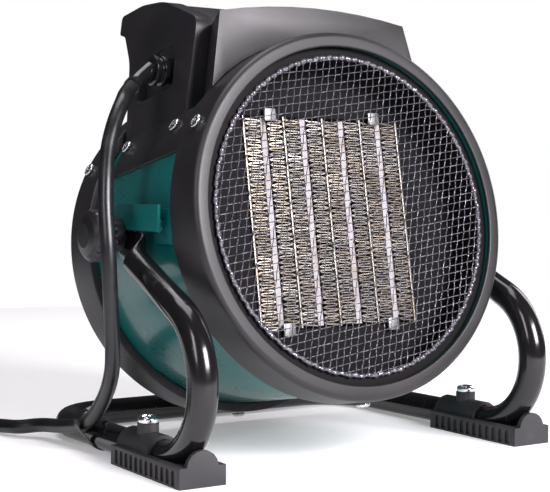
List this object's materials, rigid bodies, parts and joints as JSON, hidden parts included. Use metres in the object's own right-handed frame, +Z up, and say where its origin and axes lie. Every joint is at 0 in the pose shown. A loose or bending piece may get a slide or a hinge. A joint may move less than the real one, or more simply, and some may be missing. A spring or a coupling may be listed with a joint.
{
  "type": "ceramic space heater",
  "caption": "Portable ceramic fan heater: a painted steel drum with black end rings, tilting between side knobs on a bent tube stand with moulded feet.",
  "frame": {"origin": "centre of the footprint box of the heater without its cord, on the floor", "axes": "+X to the right of someone who looks at the warm air outlet, +Y to the back of the drum, +Z up; the outlet faces -Y"},
  "size_m": [0.3927, 0.2765, 0.2625],
  "materials": {
    "drum_paint": "gloss",
    "black_plastic": "satin",
    "black_enamel": "gloss",
    "foot_rubber": "matte",
    "cord_rubber": "smooth",
    "bushing_rubber": "gloss",
    "zinc": "bright",
    "guard_wire": "painted black",
    "fin_aluminium": "satin",
    "ceramic": "matte",
    "steel": "satin"
  },
  "bodies": {
    "stand": {"stand_tube": "black_enamel", "foot_left": "foot_rubber", "foot_right": "foot_rubber", "foot_screw_left": "zinc", "foot_screw_right": "zinc", "cable_tie": "black_plastic", "mains_cord": "cord_rubber", "cord_coil": "cord_rubber", "cord_tail": "cord_rubber", "mains_plug": "cord_rubber"},
    "drum": {"baffle_plate": "steel", "ceramic_strip_1": "ceramic", "ceramic_strip_2": "ceramic", "ceramic_strip_3": "ceramic", "ceramic_strip_4": "ceramic", "console_body": "black_plastic", "console_cap_left": "black_plastic", "console_cap_right": "black_plastic", "console_screw_left_front": "zinc", "console_screw_left_rear": "zinc", "console_screw_right_front": "zinc", "console_screw_right_rear": "zinc", "control_panel": "black_plastic", "cord_bushing": "bushing_rubber", "drum_shell": "drum_paint", "element_frame": "black_plastic", "fan_motor": "steel", "fin_bank_1": "fin_aluminium", "fin_bank_2": "fin_aluminium", "fin_bank_3": "fin_aluminium", "fin_bank_4": "fin_aluminium", "fin_bank_5": "fin_aluminium", "front_ring": "black_plastic", "front_ring_screw_bottom": "zinc", "front_ring_screw_left": "zinc", "front_ring_screw_right": "zinc", "guard_mesh": "guard_wire", "mode_switch_body": "black_plastic", "motor_bracket": "steel", "pivot_stud_left": "zinc", "pivot_stud_right": "zinc", "rear_grille": "black_plastic", "rear_ring": "black_plastic", "rear_ring_screw_bottom": "zinc", "rear_ring_screw_left": "zinc", "rear_ring_screw_right": "zinc", "stop_plate_left": "drum_paint", "stop_plate_right": "drum_paint", "stop_screw_left": "drum_paint", "stop_screw_right": "drum_paint", "terminal_block": "ceramic", "thermal_cutout": "steel", "thermostat_body": "black_plastic"},
    "clamp_knob_left": {"clamp_knob_left": "black_plastic"},
    "clamp_knob_right": {"clamp_knob_right": "black_plastic"},
    "thermostat_knob": {"thermostat_knob": "black_plastic"},
    "mode_switch_knob": {"mode_switch_knob": "black_plastic"},
    "fan": {"fan_blade": "black_plastic", "fan_shaft": "steel"}
  },
  "joints": [
    {"name": "drum_tilt", "type": "hinge", "parent": "stand", "child": "drum", "pos_m": [0, 0.00269, 0.12294], "axis": [1, 0, 0], "range_deg": [-5, 8], "deforming": ["mains_cord"]},
    {"name": "clamp_knob_left_turn", "type": "hinge", "parent": "drum", "child": "clamp_knob_left", "pos_m": [-0.1197, 0.00269, 0.12294], "axis": [-1, 0, 0], "range_deg": [0, 360]},
    {"name": "clamp_knob_right_turn", "type": "hinge", "parent": "drum", "child": "clamp_knob_right", "pos_m": [0.1197, 0.00269, 0.12294], "axis": [1, 0, 0], "range_deg": [0, 360]},
    {"name": "thermostat_knob_turn", "type": "hinge", "parent": "drum", "child": "thermostat_knob", "pos_m": [-0.023, 0.0561, 0.22529], "axis": [0, 0.9839, -0.1788], "range_deg": [-270, 0]},
    {"name": "mode_switch_knob_turn", "type": "hinge", "parent": "drum", "child": "mode_switch_knob", "pos_m": [0.023, 0.0561, 0.22529], "axis": [0, 0.9839, -0.1788], "range_deg": [-135, 0]},
    {"name": "fan_spin", "type": "hinge", "parent": "drum", "child": "fan", "pos_m": [0, 0.02411, 0.11803], "axis": [0, 0.9839, -0.1788], "continuous": true}
  ]
}
